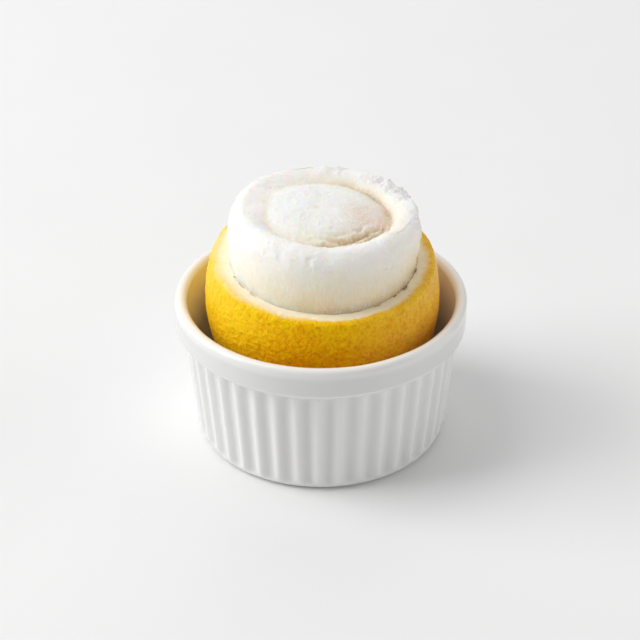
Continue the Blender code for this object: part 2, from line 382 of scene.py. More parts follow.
def dish_profile():
    """The dish from the middle of its floor, up inside, over the lip, down outside and under."""
    lip_centre = RIM_RADIUS - LIP_OUTER_ROUND
    lip_round = lip_centre - LIP_INNER_RADIUS
    lip_height = DISH_HEIGHT - lip_round
    corner_radius = inner_radius(FLOOR_TOP + FLOOR_CORNER, lip_height)
    corner = (corner_radius - FLOOR_CORNER, FLOOR_TOP + FLOOR_CORNER)
    inside = np.linspace(corner[1], lip_height, 22)[1:]
    band_edge = (RIM_RADIUS - BAND_TAPER - BAND_EDGE_ROUND, BAND_BOTTOM + BAND_EDGE_ROUND)
    fillet_height = BAND_BOTTOM - BAND_FILLET
    body_radius = valley_radius(fillet_height) + FLUTE_PLAIN * FLUTE_DEPTH
    height = np.linspace(fillet_height, PLAIN_FOOT, 38)[1:]
    body = np.stack([valley_radius(height) + FLUTE_PLAIN * FLUTE_DEPTH, height], axis=1)
    foot_radius = valley_radius(0.0) + 0.4 * FLUTE_DEPTH
    foot_corner = (foot_radius - FOOT_EDGE, FOOT_EDGE + FOOT_RAISE)
    under_foot = arc(foot_corner, FOOT_EDGE, 0, -70, 5)
    ring_outer = foot_radius - FOOT_RECESS
    ring_inner = ring_outer - FOOT_RING_WIDTH
    lip_edge = DISH_HEIGHT - LIP_OUTER_ROUND
    return np.concatenate([
        line((0.1 * MM, FLOOR_TOP), (corner[0], FLOOR_TOP), 6),
        arc(corner, FLOOR_CORNER, -90, 0, 8),
        np.stack([inner_radius(inside, lip_height), inside], axis=1),
        arc((lip_centre, lip_height), lip_round, 180, 90, 8),
        arc((lip_centre, lip_edge), LIP_OUTER_ROUND, 90, 0, 9),
        line((RIM_RADIUS, lip_edge), (RIM_RADIUS - BAND_TAPER, band_edge[1]), 7),
        arc(band_edge, BAND_EDGE_ROUND, 0, -90, 6),
        line((band_edge[0], BAND_BOTTOM), (body_radius + BAND_FILLET, BAND_BOTTOM), 2),
        arc((body_radius + BAND_FILLET, fillet_height), -BAND_FILLET, -90, 0, 4),
        body,
        line(body[-1], (foot_radius, foot_corner[1]), 2),
        under_foot,
        line(under_foot[-1], (ring_outer, 0.0), 2),
        line((ring_outer, 0.0), (ring_inner, 0.0), 2),
        line((ring_inner, 0.0), (ring_inner - FOOT_EDGE, FOOT_RING_HEIGHT), 2),
        line((ring_inner - FOOT_EDGE, FOOT_RING_HEIGHT), (1.0 * MM, FOOT_RING_HEIGHT), 4),
    ])


profile = dish_profile()
print(f"dish profile: {len(profile)} points, widest {profile[:, 0].max() / MM:.2f} mm")

# %% [markdown]
# ## The flutes
#
# Forty rounded ribs stand on the wall with grooves between them. They could be forty copies of one
# rib, but the glaze runs over all of them in one skin, with no sharp line anywhere. A cosine wave
# round the axis gives that soft shape, and it fades out under the band and above the foot.

# %% Flutes
FLUTE_COUNT = 40
FLUTE_TURN = math.radians(3.55)
FLUTE_FADE = 1.3 * MM
BODY_TOP = BAND_BOTTOM - 0.5 * MM
DISH_COLUMNS = 18 * FLUTE_COUNT
RIB_POWER = 1.1
GLAZE_SWELL = 0.05 * MM
INSIDE_ROWS = 6


def rib(bearing):
    """Height of a rib from 0 in the groove to 1: half of one minus a cosine with one wave to a
    rib, to a power just over 1, which leaves the ribs a little narrower than the grooves."""
    return (0.5 - 0.5 * np.cos(FLUTE_COUNT * (bearing - FLUTE_TURN))) ** RIB_POWER


def fluted(rings):
    """Moves the outer wall from its mean radius to the ribs and grooves, by the fade's strength
    times the rib's height less the mean. Returns the points and how deep in a groove each is."""
    x, y, z = np.moveaxis(rings, -1, 0)
    radius = np.hypot(x, y)
    outside = (radius > valley_radius(z) - 0.5 * WALL) & (z < BODY_TOP) & (z > 0.5 * PLAIN_FOOT)
    fade_in, fade_out = (PLAIN_FOOT, PLAIN_FOOT + FLUTE_FADE), (BODY_TOP - FLUTE_FADE, BODY_TOP)
    strength = between(z, fade_in, fade_out)
    ribs = rib(np.arctan2(y, x))
    out = np.where(outside, FLUTE_DEPTH * strength * (ribs - FLUTE_PLAIN), 0.0)
    grown = (radius + out) / radius
    groove = np.where(outside, strength * (1.0 - ribs), 0.0)
    return np.stack([x * grown, y * grown, z], axis=-1), groove


dish_rings, groove = fluted(turned(profile, DISH_COLUMNS))
standing = ease(dish_rings[..., 2], 1.0 * MM, 4.0 * MM)
dish_rings = raised(dish_rings, GLAZE_SWELL * standing * layered_noise(dish_rings, 11 * MM, 2, 3))
# Rows inside the dish and over the lip, which the glaze paints whiter as painted light
past_lip = np.arange(len(profile))[:, None] - np.argmax(profile[:, 1]) + 0.0 * groove
inside = 1.0 - ease(past_lip, -1, INSIDE_ROWS)
print(f"ribs stand {np.ptp(rib(np.linspace(0, 0.2, 99))) * FLUTE_DEPTH / MM:.2f} mm high")

# %% [markdown]
# ## White glaze
#
# Glazed porcelain is a white body under a clear, glossy coat. The coat swells and dips by
# hundredths of a millimetre, which bends the reflections. It is greyer in the grooves, partly
# where it pools and partly as painted shade in the recesses, and greyer on the band as painted
# shade.
# Inside and over the lip the dish is painted whiter, a painted light. The ring that it stands on
# is wiped before the firing, so it is bare and dull.


# %% Finish of the dish
# Heights between which the finish changes: off the bare foot, and onto and off the band's painted
# shade
BARE_FOOT = (0.15 * MM, 0.45 * MM)
ONTO_BAND = (BAND_BOTTOM + 0.6 * MM, BAND_BOTTOM + 2.0 * MM)
OFF_BAND = (41.0 * MM, 43.0 * MM)


def white_glaze():
    glaze = Finish("white_glaze", IOR=1.5)
    height = glaze.along("Z")
    clouds = glaze.grain(9 * MM, 3.0)
    pinholes = glaze.step(glaze.grain(0.9 * MM, 1.0), 0.73, 0.78)
    bare = 1 - glaze.step(height, *BARE_FOOT)
    # painted shade: the band is painted greyer all round
    shaded_band = glaze.step(height, *ONTO_BAND) * (1 - glaze.step(height, *OFF_BAND))
    body = glaze.painted(
        (236, 236, 234),
        (clouds, 240, 239, 236),
        # painted shade in the grooves' recesses, with some glaze pooled there
        (glaze.mark("groove") * 0.6, 216, 217, 217),
        # painted shade on the band
        (shaded_band * 0.8, 222, 222, 221),
        # painted light: the inside and the lip whiter
        (glaze.mark("inside"), 250, 248, 244),
        (pinholes * 0.12, 205, 196, 182),
        (bare, 226, 217, 202),
    )
    rough = 0.13 + clouds * 0.06 + bare * 0.55
    waves = glaze.relief(glaze.grain(5 * MM, 2.0), 0.05 * MM, 0.6)
    grit = glaze.relief(glaze.grain(0.35 * MM, 2.0) * bare, 0.06 * MM, 0.5, waves)
    return glaze.fed(Base_Color=body, Roughness=rough, Normal=grit)


# The groove mark carries painted shade with pooled glaze, and the inside mark painted light
dish_marks = {"groove": groove, "inside": inside}
dish = closed_piece("porcelain_dish", dish_rings, white_glaze(), dish_marks)
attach(dish, "root")
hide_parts("ramekin")

# %% [markdown]
# ## The lemon's shape
#
# The lemon stands in the dish with its top third cut away, leaning a few degrees to the front. It
# is a half oval above its widest place and a longer one below, with a flat cut underneath that
# keeps it from rolling. Skin, pith and hollow are one closed surface here, as they are on the
# fruit, so no seam shows where one turns into another.

# %% Profile of the lemon
GAP = 0.3 * MM
LEMON_CENTRE = np.array([0.45, 0.0, 44.6]) * MM
LEMON_RADIUS = 34.0 * MM
LEMON_UPPER = 36.5 * MM
LEMON_LOWER = 40.3 * MM
LEMON_LEAN = math.radians(6.6)
LEMON_ROLL = math.radians(1.3)
CUT_HEIGHT = 12.9 * MM
CUT_EDGE_ROUND = 1.2 * MM
PITH_LIP = 1.3 * MM
HOLLOW_RADIUS = 30.2 * MM
HOLLOW_UPPER = 32.5 * MM
HOLLOW_LOWER = 34.0 * MM
RIND_RADIUS = 29.4 * MM
RIND_FRONT = 0.2 * MM
RIND_RIGHT = 0.7 * MM
RIND_SOFT = 1.1 * MM
RIND_SOFT_LEFT = 3.4 * MM
RIND_SOFT_RIGHT = 1.2 * MM
LEMON_COLUMNS = 720
# The rows of the profile at which the hollow, the cut and its rounded edge end
HOLLOW_ROWS, CUT_ROWS, EDGE_ROWS = 14, 27, 34
lemon_turn = Matrix.Rotation(LEMON_ROLL, 3, "Y") @ Matrix.Rotation(LEMON_LEAN, 3, "X")


def leaning(rings):
    """Turns points by the lemon's roll and lean and carries them to its middle."""
    return rings @ np.array(lemon_turn).T + LEMON_CENTRE


def oval(radius, height, start, end, steps):
    return arc((0.0, 0.0), (radius, height), start, end, steps)


def oval_angle(height, full_height):
    return math.degrees(math.asin(height / full_height))


def peel_profile():
    """From the bottom of the hollow, up inside, out over the cut, round its edge and down."""
    hollow_cut = oval_angle(CUT_HEIGHT, HOLLOW_UPPER)
    skin_cut = oval_angle(CUT_HEIGHT - CUT_EDGE_ROUND, LEMON_UPPER)
    cut_radius = LEMON_RADIUS * math.cos(math.radians(skin_cut))
    edge = (cut_radius - CUT_EDGE_ROUND, CUT_HEIGHT - CUT_EDGE_ROUND)
    lip = HOLLOW_RADIUS * math.cos(math.radians(hollow_cut)) - PITH_LIP
    return np.concatenate([
        oval(HOLLOW_RADIUS, HOLLOW_LOWER, -90, 0, 8),
        oval(HOLLOW_RADIUS, HOLLOW_UPPER, 0, hollow_cut, 6)[:-1],
        [(lip, CUT_HEIGHT - 0.5 * PITH_LIP)],
        line((lip, CUT_HEIGHT), (edge[0], CUT_HEIGHT), CUT_ROWS - HOLLOW_ROWS),
        arc(edge, CUT_EDGE_ROUND, 90, 0, EDGE_ROWS - CUT_ROWS),
        oval(LEMON_RADIUS, LEMON_UPPER, skin_cut, 0, 38),
        oval(LEMON_RADIUS, LEMON_LOWER, 0, -12, 24),
        oval(LEMON_RADIUS, LEMON_LOWER, -12, -89.5, 34),
    ])


peel_rings = turned(peel_profile(), LEMON_COLUMNS)
print(f"peel: {len(peel_rings)} rows of {LEMON_COLUMNS}")

# %% [markdown]
# ## Pores, fibres and a ragged edge
#
# A lemon's skin is full of oil glands, each a dimple about a millimetre across, set close together
# but never in rows. Cellular noise gives just that: one pore at a random place in each cube of a
# lattice. The skin swells slowly as well, the cut edge wavers, and the pith is fibrous. Marks on
# the points keep how deep each lies in a pore, how far it is pith and how near the rind's edge it
# is, so the colour follows the relief.

# %% Relief of the peel
PORE_SPACING = 1.3 * MM
PORE_RADIUS = 0.44 * MM
PORE_DEPTH = 0.15 * MM
SKIN_ROUGH = 0.1 * MM
SKIN_SWELL = 0.22 * MM
PITH_ROUGH = 0.11 * MM
EDGE_WAVER = 0.28 * MM
RIND_WAVER = 0.45 * MM
RIND_WAVER_FINE = 0.3 * MM


def pores_in(rings):
    """1 in the middle of a pore, falling off as a bell curve of the distance to the nearest."""
    return np.exp(-((pore_distance(rings, PORE_SPACING, 11) / PORE_RADIUS) ** 2))


def from_rind(rings):
    """How far a point lies outside the line where the yellow rind starts: its radius, plus its
    depth under the cut once it is over the edge. The line wavers by a slow and a fine noise. In
    front it lies further out, and on the right further in."""
    x, y, z = np.moveaxis(rings, -1, 0)
    radius = np.hypot(x, y)
    waver = RIND_WAVER * lattice_noise(rings, 4 * MM, 21)
    waver += RIND_WAVER_FINE * lattice_noise(rings, 1.2 * MM, 22)
    line_radius = RIND_RADIUS + RIND_FRONT * np.maximum(-y / radius, 0.0) ** 2
    line_radius -= RIND_RIGHT * np.maximum(x / radius, 0.0) ** 2
    return radius + np.maximum(CUT_HEIGHT - z, 0.0) + waver - line_radius


def pith_share(rings):
    """1 inside the rind's line and 0 outside it, with a step that is broader on both sides."""
    bearing = np.degrees(np.arctan2(rings[..., 0], -rings[..., 1]))
    soft = RIND_SOFT + RIND_SOFT_LEFT * hump(bearing, -80.0, 85.0)
    soft += RIND_SOFT_RIGHT * hump(bearing, 85.0, 60.0)
    share = 1.0 - ease(from_rind(rings) / soft, -0.4, 1.0)
    share[:HOLLOW_ROWS] = 1.0
    return share


def peeled(rings):
    """The skin raised by its swell less its pores, and the cut by its fibres and its waver. Then
    the points lean with the lemon, and those of the skin under its base are lifted to a flat."""
    row = np.arange(len(rings))[:, None]
    on_skin = ease(row, CUT_ROWS - 1, CUT_ROWS + 5)
    on_cut = ease(row, HOLLOW_ROWS - 2, HOLLOW_ROWS) * (1.0 - on_skin)
    pores = pores_in(rings) * on_skin * ease(rings[..., 2], -13 * MM, -8 * MM)
    pith = pith_share(rings)
    rim = 1.0 - ease(from_rind(rings), 0.5 * MM, 4.5 * MM)
    swell = SKIN_SWELL * layered_noise(rings, 9 * MM, 2, 31)
    swell += SKIN_ROUGH * layered_noise(rings, 1.7 * MM, 2, 35)
    fibres = PITH_ROUGH * layered_noise(rings * (1.0, 1.0, 0.6), 1.6 * MM, 3, 41)
    waver = EDGE_WAVER * layered_noise(rings, 5 * MM, 2, 51) * hump(row, CUT_ROWS + 1, 9)
    amount = on_skin * (swell - PORE_DEPTH * pores) + on_cut * fibres + waver
    placed = leaning(raised(rings, amount))
    placed[EDGE_ROWS:, :, 2] = np.maximum(placed[EDGE_ROWS:, :, 2], FLOOR_TOP + GAP)
    return placed, {"pore": pores, "pith": pith, "rim": rim}


peel_points, peel_marks = peeled(peel_rings)
print(f"pores cover {np.mean(peel_marks['pore'][EDGE_ROWS:] > 0.4):.0%} of the skin")

# %% [markdown]
# ## Yellow skin and cream pith
#
# The yellow is deep and warm, close to orange in the pores. Low on the fruit, where the dish's lip
# shades it, a deeper orange is painted shade, and the left side, where the lights are, is painted
# lighter as painted light. The right side is paler. A waxy skin shines softly, and the pith is
# dull and spongy. A little light passes through both, which subsurface scattering gives: a greater
# distance for red than for blue keeps the yellow from going green in the shade.


# %% Finish of the lemon
def lemon_peel():
    peel = Finish(
        "lemon_peel", Subsurface_Weight=0.2, Subsurface_Radius=(1.0, 0.55, 0.15),
        Subsurface_Scale=1.0 * MM, Specular_IOR_Level=0.3, Specular_Tint=(1.0, 0.72, 0.12, 1.0),
    )
    pore, pith, rim = peel.mark("pore"), peel.mark("pith"), peel.mark("rim")
    patches = peel.step(peel.grain(7 * MM, 3.0), 0.35, 0.68)
    mottle = peel.step(peel.grain(1.3 * MM, 3.0), 0.42, 0.62)
    bronze = peel.step(peel.grain(2.6 * MM, 4.0, roughness=0.7), 0.5, 0.66)
    dots = peel.step(peel.grain(0.75 * MM, 3.0), 0.5, 0.64)
    # painted shade: deeper orange low on the fruit, where the dish's lip shades it
    low = 1 - peel.step(peel.along("Z"), 38 * MM, 56 * MM)
    # painted light: the left side, where the lights are, is lighter, and shade keeps the darker
    # marks weaker there
    lit_side = 1 - peel.step(peel.along("X"), -28 * MM, -4 * MM)
    # paler towards the right side
    paler_right = peel.step(peel.along("X"), 4 * MM, 26 * MM)
    shade = 1 - lit_side * 0.6
    skin = peel.painted(
        (254, 202, 3),
        (patches, 252, 189, 0),
        (low * 0.6, 248, 158, 0),
        (rim * 0.5, 255, 218, 30),
        (lit_side * 0.6, 255, 222, 30),
        (paler_right * 0.4, 252, 200, 96),
        (bronze * shade * 0.6, 240, 150, 0),
        (dots * shade * 0.45, 220, 126, 0),
        (mottle * 0.4, 255, 216, 16),
        (pore * shade * 0.55, 216, 116, 0),
    )
    fibre = peel.grain(0.8 * MM, 3.0, (1.0, 1.0, 0.5))
    veins = peel.step(peel.grain(1.4 * MM, 4.0), 0.5, 0.68)
    coats = (fibre, 252, 246, 226), (veins * 0.2, 244, 216, 156)
    colour = peel.mixed(pith, skin, peel.painted((249, 236, 200), *coats))
    rough = 0.36 + mottle * 0.1 + pith * 0.3
    sponge = peel.relief(fibre * pith, 0.15 * MM, 0.6)
    bumps = peel.relief(mottle * (1 - pith), 0.18 * MM, 0.8, sponge)
    wax = peel.relief(peel.grain(0.5 * MM, 2.0) * (1 - pith), 0.1 * MM, 0.6, bumps)
    return peel.fed(Base_Color=colour, Roughness=rough, Normal=wax)


lemon = closed_piece("lemon_peel_and_pith", peel_points, lemon_peel(), peel_marks)
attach(lemon, "root")
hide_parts("lemon_shell")

# %% [markdown]
# ## How the sorbet is wound
#
# The sorbet stands out of the lemon as a short drum. Its top was wound with a spatula: a ribbon
# starts in a fold on the right, runs round as a ring with a rounded crest, and sinks inside its
# own beginning. Inside the ring is a groove, and in the middle a low mound. All of that is a
# height over the drum's top, so it can be a rule on radius and bearing: the largest of the
# ribbon's height, the mound's and the groove's, with the creases between them rounded.

# %% Measures of the sorbet, with heights above the middle of the lemon
WALL_RADIUS = 27.2 * MM
WALL_BULGE = 0.15 * MM
WALL_BULGE_HEIGHT = 17.5 * MM
WALL_UNEVEN = 0.2 * MM
WALL_DRAWN = 0.5 * MM
WALL_DRAWN_RIGHT = 0.6 * MM
SHOULDER = 6.5 * MM
CREST_RADIUS = 23.3 * MM
CREST_HEIGHT = 28.4 * MM
MOUND_RADIUS = 18.8 * MM
MOUND_ERODED = 4.6 * MM
MOUND_WIDER = 2.4 * MM
MOUND_HEIGHT = 29.0 * MM
MOUND_CROWN = 1.1 * MM
MOUND_EDGE = 2.3 * MM
GROOVE_HEIGHT = 24.6 * MM
GROOVE_FILLED = 3.5 * MM
MOUND_BLEND = 0.35 * MM
GROOVE_BLEND = 0.5 * MM
CREASE_REACH = 1.4 * MM
RING_BACK = 1.5 * MM
FOLD_TIP = 114.0
FOLD_START = 102.0
FOLD_END = 116.0
SWIRL_LEAN = -0.085
SORBET_COLUMNS = 620
# The bearing of the middle of each side and how far the side reaches, in degrees
LEFT_SIDE = (-90.0, 100.0)
RIGHT_SIDE = (80.0, 70.0)
# The rows of the profile at which the top, the shoulder and the wall end
TOP_ROWS, SHOULDER_ROWS, WALL_ROWS = 84, 114, 142

# From the fold's tip round to where the ribbon sinks inside: bearing in degrees from the front
# towards +X, the crest's radius and height in mm, how wide the inner side is and how far it falls
# in mm, and the power of its curve, where 1 is a straight slope and 4 a flat top with a steep edge
RIBBON = (
    (114, 24.4, 27.6, 4.6, 2.6, 3.4),
    (101, 25.0, 28.2, 5.2, 2.9, 4.2),
    (88, 24.9, 27.9, 5.4, 2.9, 4.2),
    (66, 24.2, 28.0, 4.8, 2.9, 3.4),
    (46, 22.8, 28.6, 3.6, 2.9, 2.4),
    (8, 22.6, 28.5, 3.2, 2.7, 2.0),
    (-35, 22.5, 29.0, 3.6, 2.2, 1.7),
    (-90, 23.3, 28.7, 4.6, 0.5, 1.3),
    (-140, 23.5, 28.7, 4.8, 1.0, 1.3),
    (-180, 23.6, 28.6, 4.9, 1.7, 1.6),
    (-232, 24.1, 28.3, 5.2, 2.6, 3.0),
    (-256, 24.0, 27.5, 5.0, 2.6, 3.6),
    (-280, 22.8, 26.2, 4.0, 2.4, 3.0),
    (-302, 20.6, 24.4, 2.8, 2.4, 2.4),
)


def ribbon_at(turn):
    """The values of the table's columns at an unwound bearing, eased between its rows, with
    lengths in metres."""
    table = np.array(RIBBON[::-1])
    at = np.clip(turn, table[0, 0], table[-1, 0])
    low = np.clip(np.searchsorted(table[:, 0], at, side="right") - 1, 0, len(table) - 2)
    share = ease(at, table[low, 0], table[low + 1, 0])[..., None]
    values = table[low, 1:] + (table[low + 1, 1:] - table[low, 1:]) * share
    return np.moveaxis(values * (MM, MM, MM, MM, 1.0), -1, 0)


def ribbon_height(radius, turn):
    """The crest's height less a fall towards the inside by a power of the share of its width, and
    a fall outside by the square of the distance."""
    crest_radius, crest_height, width, fall, power = ribbon_at(turn)
    inward = np.clip((crest_radius - radius) / width, 0.0, 1.6)
    outward = np.clip((radius - crest_radius) / RING_BACK, 0.0, 4.0)
    return crest_height - fall * inward**power - 0.8 * RING_BACK * outward**2


def soft_max(a, b, blend):
    """The larger of two heights, with the crease between them rounded: half of the sum and the
    root of the squared difference plus the squared blend."""
    return 0.5 * (a + b + np.sqrt((a - b) ** 2 + blend**2))


# %% [markdown]
# ## The mound and its crumbs
#
# The mound is a low dome with a dimple where the spatula was lifted off. On the front right it
# broke away from the ribbon, and its edge crumbled into a few ledges. They could be cut with
# Booleans, but a wave that runs down the mound's edge, pushed about by noise, has the same uneven
# steps and needs no clean-up.

# %% Mound
CROWN_PLACE = (-6.0 * MM, 2.0 * MM)
DIMPLE_PLACE = (-2.7 * MM, 1.5 * MM)
DIMPLE_RADIUS = 2.2 * MM
DIMPLE_DEPTH = 0.35 * MM
LEDGE_STEP = 2.1 * MM
LEDGE_DEPTH = 1.1 * MM
LEDGES_START, LEDGES_END = (11.0 * MM, 14.0 * MM), (19.5 * MM, 21.5 * MM)


def mound_height(x, y, radius, bearing):
    """A crown that falls with the square of the distance from a place left of the middle, less
    an edge that falls with the sixth power of the radius, less a bell-shaped dimple. The edge
    is eroded towards the middle on the front right, and lies further out on the left."""
    off = np.hypot(x - CROWN_PLACE[0], y - CROWN_PLACE[1])
    crown = MOUND_HEIGHT - MOUND_CROWN * (off / (15 * MM)) ** 2
    edge = MOUND_RADIUS - MOUND_ERODED * hump(bearing, 34.0, 62.0)
    edge += MOUND_WIDER * hump(bearing, -95.0, 80.0)
    away = np.hypot(x - DIMPLE_PLACE[0], y - DIMPLE_PLACE[1]) / DIMPLE_RADIUS
    fall = MOUND_EDGE * np.minimum(radius / edge, 1.3) ** 6
    return crown - fall - DIMPLE_DEPTH * np.exp(-(away**2))


def ledges(x, y, radius, bearing):
    """A saw wave along the radius, pushed about by noise, on the front right of the mound's edge:
    it rises slowly over three quarters of a step and drops over the last one."""
    place = np.stack([x, y, 0.0 * x], axis=-1)
    shift = lattice_noise(place, 5.0 * MM, 61) + 0.5 * lattice_noise(place, 1.6 * MM, 62)
    phase = (radius / LEDGE_STEP + 0.45 * shift) % 1.0
    saw = ease(phase, 0.0, 0.75) - ease(phase, 0.75, 1.0)
    crumbled = hump(bearing, 30.0, 66.0) * between(radius, LEDGES_START, LEDGES_END)
    return LEDGE_DEPTH * (saw - 0.5) * np.minimum(1.6 * crumbled, 1.0)


# %% [markdown]
# ## Drum, ring and plug in one surface
#
# The plain profile runs from the middle of the top over the shoulder and down the wall to the plug
# that fills the hollow. Winding it up moves each point to the ribbon's own radius and height at
# its bearing. The sorbet leans with the lemon at its foot and stands upright above the cut,
# because it was filled to the brim first and built up later.


# %% Sorbet surface
def sorbet_profile():
    """Flat top, quarter of an ellipse for the shoulder, nearly straight wall, then the plug."""
    top = np.linspace(0.011, 1.0, TOP_ROWS)[:, None] * (CREST_RADIUS, 0.0) + (0.0, CREST_HEIGHT)
    angle = np.linspace(0.0, 0.5 * math.pi, SHOULDER_ROWS - TOP_ROWS + 1)[1:, None]
    across = (WALL_RADIUS - CREST_RADIUS) * np.sin(angle)
    down = SHOULDER * (1.0 - np.cos(angle))
    shoulder = np.concatenate([CREST_RADIUS + across, CREST_HEIGHT - down], axis=1)
    rows = WALL_ROWS - SHOULDER_ROWS + 1
    height = np.linspace(CREST_HEIGHT - SHOULDER, CUT_HEIGHT + GAP, rows)[1:]
    bulge = WALL_BULGE * hump(height, WALL_BULGE_HEIGHT, 4.5 * MM)
    wall = np.stack([WALL_RADIUS + bulge, height], axis=1)
    plug_radius, plug_upper = HOLLOW_RADIUS - GAP, HOLLOW_UPPER - GAP
    plug_top = oval_angle(CUT_HEIGHT - GAP, plug_upper)
    upper_plug = oval(plug_radius, plug_upper, plug_top + 2.0, 0, 4)
    lower_plug = oval(plug_radius, HOLLOW_LOWER - 2 * GAP, 0, -89.5, 7)
    return np.concatenate([top, shoulder, wall, upper_plug, lower_plug])


def wall_unevenness(bearing, height):
    """Two sine waves round the axis that fade out at the cut, less how far the foot of the wall
    draws in from the pith, most on the right."""
    angle = np.radians(bearing)
    swell = np.sin(3.0 * angle + 1.0) + 0.6 * np.sin(5.0 * angle - 0.4)
    drawn_in = WALL_DRAWN + WALL_DRAWN_RIGHT * hump(bearing, 68.0, 52.0)
    low = 1.0 - ease(height, CUT_HEIGHT, CUT_HEIGHT + 8 * MM)
    return WALL_UNEVEN * swell * ease(height, CUT_HEIGHT, WALL_BULGE_HEIGHT) - drawn_in * low


def wound(rings):
    """Each point of the plain profile at the ribbon's radius and height for its bearing. Past the
    fold the outer turn of the ribbon gives way to the inner one. Returns the points, and for each
    its bearing in degrees, its depth below the crest and its nearness to a crease."""
    x, y, z = np.moveaxis(rings, -1, 0)
    radius = np.hypot(x, y)
    bearing = (np.degrees(np.arctan2(y, x)) + 270.0) % 360.0 - 180.0
    past_fold = ease(bearing, FOLD_START, FOLD_END)
    outer_turn, inner_turn = np.minimum(bearing, FOLD_TIP), bearing - 360.0
    outer, inner = ribbon_at(outer_turn), ribbon_at(inner_turn)
    crest_radius, crest_height = (outer * (1.0 - past_fold) + inner * past_fold)[:2]

    above_cut = z > CUT_HEIGHT + 0.5 * GAP
    inside = radius <= CREST_RADIUS
    spread = (WALL_RADIUS - crest_radius) / (WALL_RADIUS - CREST_RADIUS)
    on_shoulder = crest_radius + (radius - CREST_RADIUS) * spread
    moved = np.where(inside, radius * crest_radius / CREST_RADIUS, on_shoulder)
    moved = np.where(above_cut & (radius < WALL_RADIUS), moved, radius)
    out = np.where(inside | ~above_cut, 0.0, wall_unevenness(bearing, z))
    grown = (moved + out) / radius

    outer_height = ribbon_height(moved, outer_turn) - CREST_HEIGHT * past_fold
    ring = np.maximum(outer_height, ribbon_height(moved, inner_turn))
    mound = mound_height(x * grown, y * grown, moved, bearing)
    groove_height = GROOVE_HEIGHT + GROOVE_FILLED * hump((bearing + 250.0) % 360.0, 140.0, 125.0)
    top = soft_max(soft_max(mound, ring, MOUND_BLEND), groove_height, GROOVE_BLEND)
    top = top + ledges(x * grown, y * grown, moved, bearing)
    lift = (crest_height - CREST_HEIGHT) * ease(z, WALL_BULGE_HEIGHT, CREST_HEIGHT)
    on_top = inside & (z > CREST_HEIGHT - GAP)
    height = np.where(on_top, top, z + lift)
    depth = np.where(on_top, crest_height - height, 0.0)
    height = height + SWIRL_LEAN * y * grown * ease(height, CUT_HEIGHT + GAP, GROOVE_HEIGHT)
    upright = math.tan(LEMON_LEAN) * np.maximum(height - CUT_HEIGHT, 0.0)
    # How far the painted shade of a crease reaches, narrower on the left
    crease_reach = CREASE_REACH * (1.0 - 0.35 * hump(bearing, *LEFT_SIDE))
    crease = np.where(on_top, 1.0 - ease(np.abs(mound - ring), 0.0, crease_reach), 0.0)
    return np.stack([x * grown, y * grown + upright, height], axis=-1), bearing, depth, crease


drum, bearing, depth, crease = wound(turned(sorbet_profile(), SORBET_COLUMNS))
print(f"groove is {depth.max() / MM:.1f} mm below the crest")

# %% [markdown]
# ## Frost and grain
#
# Where sorbet met cold air it is furry with frost, most of all on the crest at the back right and
# on the shoulder in front. Elsewhere the spatula smeared it smooth, and at the pith it begins to
# melt. The frost is worked out once and used three times: for its bristles and clumps, for the
# colour, and for where loose crystals lie.

# %% Relief of the sorbet
GRAIN_DEPTH = 0.08 * MM
STREAK_DEPTH = 0.12 * MM
FROST_DEPTH = 0.26 * MM
CLUMP_DEPTH = 0.75 * MM
LUMP_DEPTH = 0.22 * MM
TOE = 0.55 * MM
TOE_SINK = 0.35 * MM
TOE_HEIGHT = 2.2 * MM
# Rows between which the frost of the crest at the back right sets in, and those where it ends
RIM_START = (66, 80)
RIM_END = (SHOULDER_ROWS - 4, SHOULDER_ROWS + 16)


def frost_on(rings, bearing, depth):
    """From 0 to 1.1: strong on the crest at the back right, less on the shoulder in front and on
    the crumbs, weak elsewhere and weakest in the groove, and broken up by patches of noise."""
    row = np.arange(len(rings))[:, None]
    behind = 1.1 * hump(bearing, 128.0, 80.0) * between(row, RIM_START, RIM_END)
    in_front = hump(bearing, -22.0, 55.0) * hump(row, SHOULDER_ROWS - 8, 26)
    crumbs = hump(bearing, 45.0, 55.0) * hump(row, 58, 22)
    patches = ease(layered_noise(rings, 4.5 * MM, 2, 71), -0.5, 0.7)
    everywhere = 0.22 * ease(row, 8, 30)
    frost = np.maximum.reduce([behind, 0.6 * in_front, 0.7 * crumbs, everywhere + 0.0 * bearing])
    return frost * patches * (1.0 - 0.7 * ease(depth, 1.5 * MM, 3.0 * MM))


def frosted(rings, frost):
    """Raises the surface by lumps, by the frost's bristles and clumps, by upright streaks and by
    a fine even grain, and spreads the foot of the wall into a melted toe on the pith."""
    row = np.arange(len(rings))[:, None]
    lumps = LUMP_DEPTH * layered_noise(rings, 4 * MM, 2, 81)
    bristle = FROST_DEPTH * frost * layered_noise(rings, 0.9 * MM, 2, 91)
    clumps = CLUMP_DEPTH * frost * layered_noise(rings, 2.0 * MM, 2, 97)
    streaks = layered_noise(rings * (1.0, 1.0, 0.25), 0.8 * MM, 2, 95)
    streaks *= STREAK_DEPTH * (0.4 + frost)
    grain = GRAIN_DEPTH * layered_noise(rings, 1.2 * MM, 2, 101)
    seen = ease(row, 2, 10) * (row < WALL_ROWS)
    relief = (lumps + bristle + clumps + streaks + grain) * seen
    x, y, z = np.moveaxis(raised(rings, relief), -1, 0)
    melt = 0.8 + 0.25 * lattice_noise(rings, 3 * MM, 111)
    near = np.clip(1.0 - (rings[..., 2] - CUT_HEIGHT - GAP) / TOE_HEIGHT, 0.0, 1.0)
    near = np.where((row > SHOULDER_ROWS) & (row < WALL_ROWS), near, 0.0)
    out = 1.0 + TOE * melt * near**3 / np.hypot(x, y)
    return np.stack([x * out, y * out, z - TOE_SINK * near**6], axis=-1)


